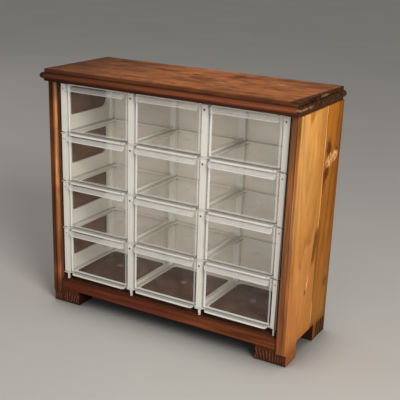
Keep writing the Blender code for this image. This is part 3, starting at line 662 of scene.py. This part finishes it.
def rack_painted_shade(tree):
    """Painted shade in the gaps near the front, in the lock holes of the two middle lines of posts, on the
    ledges under the drawers' sills, at the right ends of the lips and on the pegs below the lowest shelf at
    the back.
    """
    side = tree.side()
    post_x = tree.math("SUBTRACT", tree.math("WRAP", tree.x, COLUMN_PITCH, 0.0), COLUMN_PITCH / 2)
    level = tree.math("SUBTRACT", tree.z, LOWEST_SHELF_Z - ROW_PITCH / 2)
    level = tree.math("WRAP", level, ROW_PITCH, 0.0)
    inside_posts = tree.range(side, OUTER_POST_X - 0.0005, OUTER_POST_X + 0.0005, 1.0, 0.0)
    gaps = tree.times(
        tree.range(tree.crevice(0.007), 0.12, 0.65, 0.74, 0.0),
        tree.range(tree.y, RACK_FRONT_Y + 0.005, RACK_FRONT_Y + 0.009, 1.0, 0.0),
        tree.range(tree.math("ABSOLUTE", post_x), 0.0055, 0.0065, 0.3, 1.0),
        inside_posts,
    )
    hole_place = (-LOCK_HOLE_OFFSET, LOCK_HOLE_LEVEL)
    holes = tree.times(
        tree.spot((post_x, level), hole_place, (LOCK_HOLE_RADIUS, LOCK_HOLE_RADIUS), soft=0.25),
        tree.range(tree.y, RACK_FRONT_Y + 0.006, RACK_FRONT_Y + 0.005),
        tree.range(side, 0.09, 0.1, 0.7, 0.0),
    )
    ledges = tree.times(
        tree.band(level, ROW_PITCH / 2, 0.0001, 0.0002),
        tree.range(tree.y, DRAWER_FRONT_Y + 0.0002, DRAWER_FRONT_Y),
        inside_posts,
        0.4,
    )
    lip_ends = tree.times(
        tree.range(tree.column_x(), 0.037, 0.0385, 0.0, 0.3),
        tree.range(tree.y, RACK_FRONT_Y, RACK_FRONT_Y - 0.0003),
    )
    rear_pegs = tree.times(
        tree.range(tree.z, LOWEST_SHELF_Z - 0.0036, LOWEST_SHELF_Z - 0.0028, 0.9, 0.0),
        tree.range(tree.y, 0.0, 0.01),
    )
    return tree.most(gaps, holes, ledges, lip_ends, rear_pegs)


def white_plastic():
    """Moulded plastic: faint mould texture, yellowed in clouds, with painted shade on the right-most posts,
    brown beside the right stile, and painted light on the rear posts.
    """
    tree = Tree("white_plastic")
    cloud = tree.noise(tree.place, 11, 3)
    color = tree.ramp(cloud, ((0.32, (0.62, 0.6, 0.525)), (0.68, (0.69, 0.675, 0.62))))
    # Painted shade: the right-most line of posts is darker, beside the right side board.
    right_edge = tree.range(tree.x, OUTER_POST_X + 0.0005, OUTER_POST_X + 0.001)
    color = tree.mix(right_edge, color, (0.55, 0.52, 0.465))
    # Painted light: the rear of the rack, with its rear posts, is paler.
    color = tree.mix(tree.range(tree.y, 0.042, 0.044), color, (0.79, 0.77, 0.7))
    # Painted shadow: a dark brown wedge along the right edge of the right-most posts, widening towards the
    # bottom, beside the right stile.
    gap = tree.times(
        tree.range(tree.math("MULTIPLY_ADD", tree.z, -0.0105, tree.x), 0.1501, 0.1507, 0.0, 0.92),
        tree.range(tree.y, RACK_FRONT_Y + 0.008, RACK_FRONT_Y + 0.007),
    )
    color = tree.mix(gap, color, (0.1, 0.046, 0.022))
    # Painted shade: the rack's shade mask darkens the plastic to a dark grey.
    tree.set("Base Color", tree.mix(rack_painted_shade(tree), color, (0.05, 0.046, 0.038)))
    grain = tree.noise(tree.place, 1600, 2)
    tree.set("Roughness", tree.range(grain, *NOISE_SPAN, 0.36, 0.48))
    tree.set("Specular IOR Level", 0.4)
    tree.bump(grain, 0.12, 0.0001)
    return tree.material


def clear_plastic():
    """Clear drawers: thin haze on the walls, painted highlights where a wall is seen along its edge and along
    the rims, and a painted dark line at the foot of the left wall.
    """
    tree = Tree("clear_plastic")
    across = tree.column_x()
    level = tree.math("WRAP", tree.math("SUBTRACT", tree.z, LOWEST_SHELF_Z), ROW_PITCH, 0.0)
    depth = tree.math("SUBTRACT", tree.y, DRAWER_FRONT_Y)
    # Painted highlights: pale, nearly opaque strips where the side walls meet the front, strong on the left
    # and faint on the right, and a pale line along the sill, stronger in the lowest row.
    left = tree.times(tree.band(across, LEFT_EDGE, 0.0011, 0.0005), 0.86)
    right = tree.times(tree.band(across, RIGHT_EDGE, 0.0008, 0.0005), 0.38)
    sill = tree.times(
        tree.band(level, SILL_LEVEL, 0.0012, 0.0004),
        tree.range(tree.z, LOWEST_ROW_TOP_Z, LOWEST_ROW_TOP_Z + 0.01, 0.55, 0.28),
    )
    edges = tree.times(tree.most(left, right, sill), tree.band(depth, 0.0, 0.0003, 0.0004))
    # The pulls: pale and translucent, fainter in the top row as painted shade under the top board.
    pull = tree.times(
        tree.range(depth, -0.0008, -0.0003, 1.0, 0.0),
        tree.range(level, PULL_LEVEL, PULL_LEVEL + 0.0009, 0.6, 0.34),
        tree.range(tree.z, TOP_ROW_PULL_Z, TOP_ROW_PULL_Z + 0.01, 1.0, 0.55),
    )
    pip = tree.times(
        tree.spot((across, depth), (0.0, PIP_DEPTH), (0.0042, 0.0036), soft=0.85),
        tree.range(level, 0.004, 0.006, 0.22, 0.0),
    )
    # Painted highlight along the top rims of the walls.
    rim = tree.range(level, RIM_LEVEL - 0.0005, RIM_LEVEL - 0.0002, 0.0, 0.5)
    bright = tree.most(edges, pull, pip, rim)
    # Painted shade: a dark line along the foot of the left wall.
    line = tree.times(
        tree.range(level, SILL_LEVEL - 0.0004, SILL_LEVEL, 1.0, 0.0),
        tree.range(depth, 0.002, 0.003),
        tree.range(across, LEFT_EDGE - 0.0012, LEFT_EDGE - 0.0015),
    )
    scuff = tree.noise(tree.place, 60, 3)
    haze = tree.range(scuff, *FIBRE_SPAN, 0.018, 0.038)
    tree.set("Alpha", tree.most(bright, haze, tree.times(line, 0.2)))
    cloud = tree.noise(tree.place, 12, 2)
    color = tree.ramp(cloud, ((0.3, (0.74, 0.73, 0.69)), (0.7, (0.82, 0.81, 0.79))))
    color = tree.mix(tree.range(bright, 0.05, 0.2, 1.0, 0.0), color, (0.75, 0.63, 0.52))
    tree.set("Base Color", tree.mix(line, color, (0.06, 0.055, 0.045)))
    tree.set("Roughness", tree.range(scuff, *FIBRE_SPAN, 0.12, 0.22))
    return tree.material


def floor_paint():
    """The studio floor: pale and matt, with a painted contact shadow close under the cabinet."""
    tree = Tree("floor_paint")
    cloud = tree.noise(tree.place, 3, 3)
    color = tree.ramp(cloud, ((0.3, (0.53, 0.515, 0.49)), (0.7, (0.565, 0.55, 0.525))))
    # Painted shadow: darker where the cabinet stands close.
    tree.set("Base Color", tree.shade(color, tree.range(tree.crevice(0.07), 0.2, 0.9, 0.18, 1.0)))
    tree.set("Roughness", 0.75)
    return tree.material


def dress(frame):
    """Gives every CAD node its procedural material, found by a part of the node's name."""
    plastic = white_plastic()
    looks = {
        "top_board": top_wood(),
        "base_board": base_wood(),
        "back_panel": hardboard(),
        "side_front_board": front_side_wood(),
        "side_rear_board": rear_side_wood(),
        "foot": foot_wood(),
        "back_screw": screw_steel(),
        "rack_panel": plastic,
        "shelf": plastic,
        "top_plate": plastic,
        "drawer": clear_plastic(),
    }
    for name, node in frame["nodes"].items():
        key = next(key for key in looks if key in name)
        node.data.materials.clear()
        node.data.materials.append(looks[key])


def build_floor():
    mesh = bpy.data.meshes.new("floor")
    corners = [(-1, -1), (1, -1), (1, 1), (-1, 1)]
    mesh.from_pydata([(x * FLOOR_HALF, y * FLOOR_HALF, 0) for x, y in corners], [], [(0, 1, 2, 3)])
    floor = bpy.data.objects.new("floor", mesh)
    floor.location.z = FLOOR_Z
    bpy.context.scene.collection.objects.link(floor)
    mesh.materials.append(floor_paint())


def away_from(azimuth, elevation):
    """The direction from the cabinet to a place; azimuth 0 is straight in front."""
    a = math.radians(azimuth)
    e = math.radians(elevation)
    return Vector((math.sin(a) * math.cos(e), -math.cos(a) * math.cos(e), math.sin(e)))


def add_lamp(name, azimuth, elevation, distance, size, power, color):
    """An area lamp aimed at the middle of the cabinet."""
    away = away_from(azimuth, elevation)
    data = bpy.data.lights.new(name, "AREA")
    data.shape = "DISK"
    data.size = size
    data.energy = power
    data.color = color
    lamp = bpy.data.objects.new(name, data)
    lamp.location = Vector(LAMP_TARGET) + away * distance
    lamp.rotation_mode = "QUATERNION"
    lamp.rotation_quaternion = (-away).to_track_quat("-Z", "Y")
    bpy.context.scene.collection.objects.link(lamp)


def build_light():
    add_lamp("key", 55, 30, distance=1.7, size=0.8, power=24, color=(1.0, 0.97, 0.92))
    add_lamp("fill", 10, 6, distance=2.2, size=1.6, power=14, color=(0.95, 0.98, 1.0))
    add_lamp("side", 268, 16, distance=2.2, size=1.5, power=6, color=(1.0, 0.98, 0.95))
    world = bpy.data.worlds.new("studio")
    world.use_nodes = True
    background = world.node_tree.nodes["Background"]
    background.inputs["Color"].default_value = WORLD_COLOR
    background.inputs["Strength"].default_value = WORLD_STRENGTH
    bpy.context.scene.world = world


def build_camera():
    forward = -away_from(CAMERA_AZIMUTH, CAMERA_ELEVATION)
    level = forward.to_track_quat("-Z", "Y").to_matrix().to_4x4()
    roll = Matrix.Rotation(math.radians(CAMERA_ROLL), 4, "Z")
    data = bpy.data.cameras.new("camera")
    data.lens = CAMERA_LENS
    data.sensor_width = SENSOR_WIDTH
    data.sensor_fit = "HORIZONTAL"
    data.shift_y = CAMERA_SHIFT_Y
    data.clip_start = 0.01
    data.clip_end = 100
    camera = bpy.data.objects.new("camera", data)
    camera.matrix_world = Matrix.Translation(CAMERA_PLACE) @ level @ roll
    bpy.context.scene.collection.objects.link(camera)
    bpy.context.scene.camera = camera


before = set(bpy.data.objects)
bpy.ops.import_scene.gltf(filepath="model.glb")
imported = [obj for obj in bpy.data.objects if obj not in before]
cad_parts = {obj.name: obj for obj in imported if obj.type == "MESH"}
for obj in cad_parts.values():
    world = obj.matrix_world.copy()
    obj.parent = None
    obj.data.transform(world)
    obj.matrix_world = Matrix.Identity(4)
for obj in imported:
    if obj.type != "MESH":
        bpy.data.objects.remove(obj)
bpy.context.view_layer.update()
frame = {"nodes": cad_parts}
dress(frame)
build_floor()
build_light()
build_camera()
scene = bpy.context.scene
scene.view_settings.view_transform = "Standard"
scene.cycles.transparent_max_bounces = TRANSPARENT_BOUNCES
